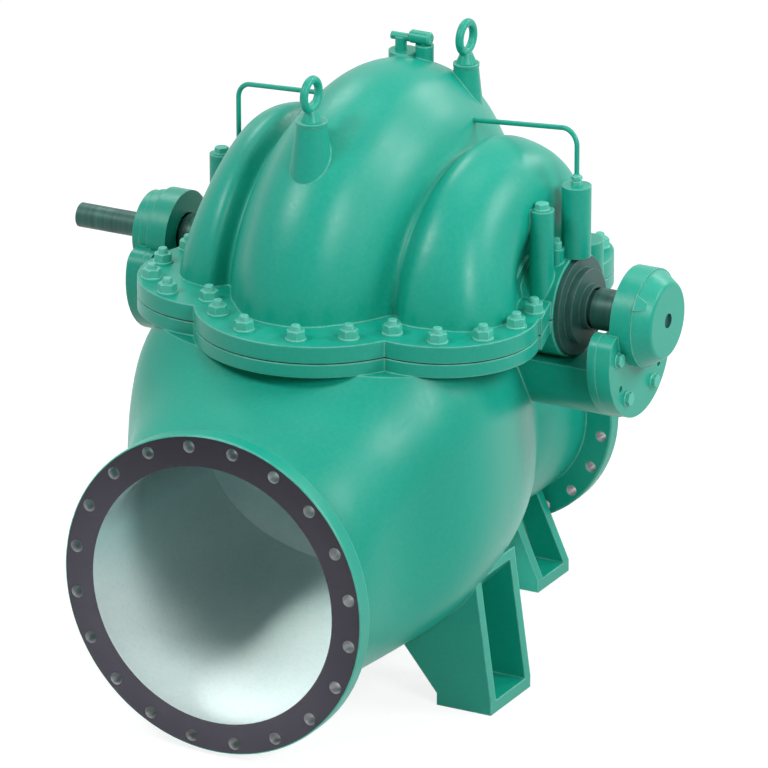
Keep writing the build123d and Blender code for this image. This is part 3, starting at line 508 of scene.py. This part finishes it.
# Bracket bolts, flush fitting and square plug at each end
for end, side in (("drive", -1), ("closed", 1)):
    mesh = bmesh.new()
    for index, (low, high) in enumerate(clusters(end + "_bracket_bolts", BRACKET_BOLT_REACH)):
        place = outward(low, high, side, 23.0 * index)
        washer(mesh, place, radius=0.0185, edge=0.0020, height=0.0025)
        sided_piece(mesh, place, 6, flats=0.0145, start=0.0025, end=high.x - low.x)
    finish_piece(mesh, end + "_bracket_bolts_detailed", "casing", fastener_green, [end + "_bracket_bolts"])

    mesh = bmesh.new()
    low, high = (Vector(corner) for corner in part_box(end + "_flush_nut"))
    place = upright(low, high)
    sided_piece(mesh, place, 6, flats=0.0120, start=0.0, end=0.0110)
    turned_piece(mesh, place, ((0.0105, 0.0110), (0.0105, 0.0130), (0.0118, 0.0135), (0.0118, 0.0150)))
    sided_piece(mesh, place, 6, flats=0.0118, start=0.0150, end=0.0230)
    turned_piece(mesh, place, ((0.0090, 0.0225), (0.0084, 0.0262), (0.0072, 0.0270)))
    finish_piece(mesh, end + "_flush_fitting", "casing", fastener_green, [end + "_flush_nut"])

    mesh = bmesh.new()
    low, high = (Vector(corner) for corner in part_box(end + "_box_plug"))
    place = upright(low, high, 20.0)
    turned_piece(mesh, place, ((0.0120, 0.0), (0.0120, 0.0140), (0.0108, 0.0160)))
    sided_piece(mesh, place, 4, flats=0.0070, start=0.0160, end=high.z - low.z)
    finish_piece(mesh, end + "_box_plug_detailed", "casing", fastener_green, [end + "_box_plug"])

# Camera at the photograph's angle
camera_data = bpy.data.cameras.new("camera")
camera_data.sensor_width = 36.0
camera_data.lens = 375.0
camera_data.clip_end = 200.0
camera = bpy.data.objects.new("camera", camera_data)
bpy.context.scene.collection.objects.link(camera)
turned = Matrix((
    (0.88165, -0.16639, 0.44161),
    (0.47191, 0.31086, -0.82503),
    (0.0, 0.93578, 0.35259),
))
camera.matrix_world = Matrix.Translation((8.397, -15.467, 7.349)) @ turned.to_4x4()
bpy.context.scene.camera = camera


# Studio: pale floor, pale surroundings and soft lamps
def backdrop_light(tree, background, plain):
    """Colour that camera, mirror and glass rays see, while other rays see the plain light."""
    path = tree.nodes.new("ShaderNodeLightPath")
    first = tree.nodes.new("ShaderNodeMath")
    first.operation = "MAXIMUM"
    second = tree.nodes.new("ShaderNodeMath")
    second.operation = "MAXIMUM"
    tree.links.new(path.outputs["Is Camera Ray"], first.inputs[0])
    tree.links.new(path.outputs["Is Transmission Ray"], first.inputs[1])
    tree.links.new(first.outputs[0], second.inputs[0])
    tree.links.new(path.outputs["Is Glossy Ray"], second.inputs[1])
    mix = tree.nodes.new("ShaderNodeMixShader")
    tree.links.new(second.outputs[0], mix.inputs[0])
    tree.links.new(plain.outputs[0], mix.inputs[1])
    tree.links.new(background.outputs[0], mix.inputs[2])
    return mix


def white_light(strength):
    node = world.node_tree.nodes.new("ShaderNodeBackground")
    node.inputs["Color"].default_value = (1.0, 1.0, 1.0, 1.0)
    node.inputs["Strength"].default_value = strength
    return node


world = bpy.data.worlds.new("studio")
bpy.context.scene.world = world
world.use_nodes = True
world.node_tree.nodes.clear()
soft = white_light(0.15)
white = white_light(1.0)
world_output = world.node_tree.nodes.new("ShaderNodeOutputWorld")
world_seen = backdrop_light(world.node_tree, white, soft)
world.node_tree.links.new(world_seen.outputs[0], world_output.inputs[0])

FLOOR_REACH = 60.0
floor_mesh = bpy.data.meshes.new("floor")
corners = ((-1, -1), (1, -1), (1, 1), (-1, 1))
floor_mesh.from_pydata([(x * FLOOR_REACH, y * FLOOR_REACH, 0) for x, y in corners], [], [(0, 1, 2, 3)])
floor = bpy.data.objects.new("floor", floor_mesh)
bpy.context.scene.collection.objects.link(floor)
floor_material = bpy.data.materials.new("floor")
floor_material.use_nodes = True
floor_tree = floor_material.node_tree
floor_tree.nodes.clear()
floor_output = floor_tree.nodes.new("ShaderNodeOutputMaterial")
diffuse = floor_tree.nodes.new("ShaderNodeBsdfDiffuse")
diffuse.inputs["Color"].default_value = (0.30, 0.30, 0.30, 1.0)
glow = floor_tree.nodes.new("ShaderNodeEmission")
glow.inputs["Strength"].default_value = 0.84
both = floor_tree.nodes.new("ShaderNodeAddShader")
floor_tree.links.new(diffuse.outputs[0], both.inputs[0])
floor_tree.links.new(glow.outputs[0], both.inputs[1])
plain_floor = floor_tree.nodes.new("ShaderNodeBsdfDiffuse")
plain_floor.inputs["Color"].default_value = (0.55, 0.56, 0.56, 1.0)
seen = backdrop_light(floor_tree, both, plain_floor)
floor_tree.links.new(seen.outputs[0], floor_output.inputs[0])
floor_mesh.materials.append(floor_material)


def lamp(name, place, size, power, target=(0.0, 0.1, 0.9), spread=180.0):
    """Square soft lamp aimed at a point, with its light held to a spread in degrees."""
    data = bpy.data.lights.new(name, "AREA")
    data.size = size
    data.energy = power
    data.spread = math.radians(spread)
    obj = bpy.data.objects.new(name, data)
    bpy.context.scene.collection.objects.link(obj)
    obj.location = place
    obj.rotation_euler = (Vector(target) - Vector(place)).to_track_quat("-Z", "Y").to_euler()


lamp("key", (5.4, -3.1, 4.6), size=2.2, power=200.0)
lamp("right", (5.0, 1.9, 4.6), size=2.0, power=142.0)
lamp("top", (0.6, 0.8, 6.6), size=2.6, power=40.0)
lamp("left", (-3.2, 2.7, 5.9), size=1.8, power=80.0)
lamp("front", (-2.6, -3.6, 5.5), size=1.8, power=165.0)
lamp("rim", (2.2, 4.9, 4.2), size=1.6, power=72.0)
lamp("nozzle", (-1.4, -3.2, 0.5), size=0.6, power=2.2, target=(0.05, -0.45, 0.30), spread=12.0)

bpy.context.scene.view_settings.view_transform = "Standard"
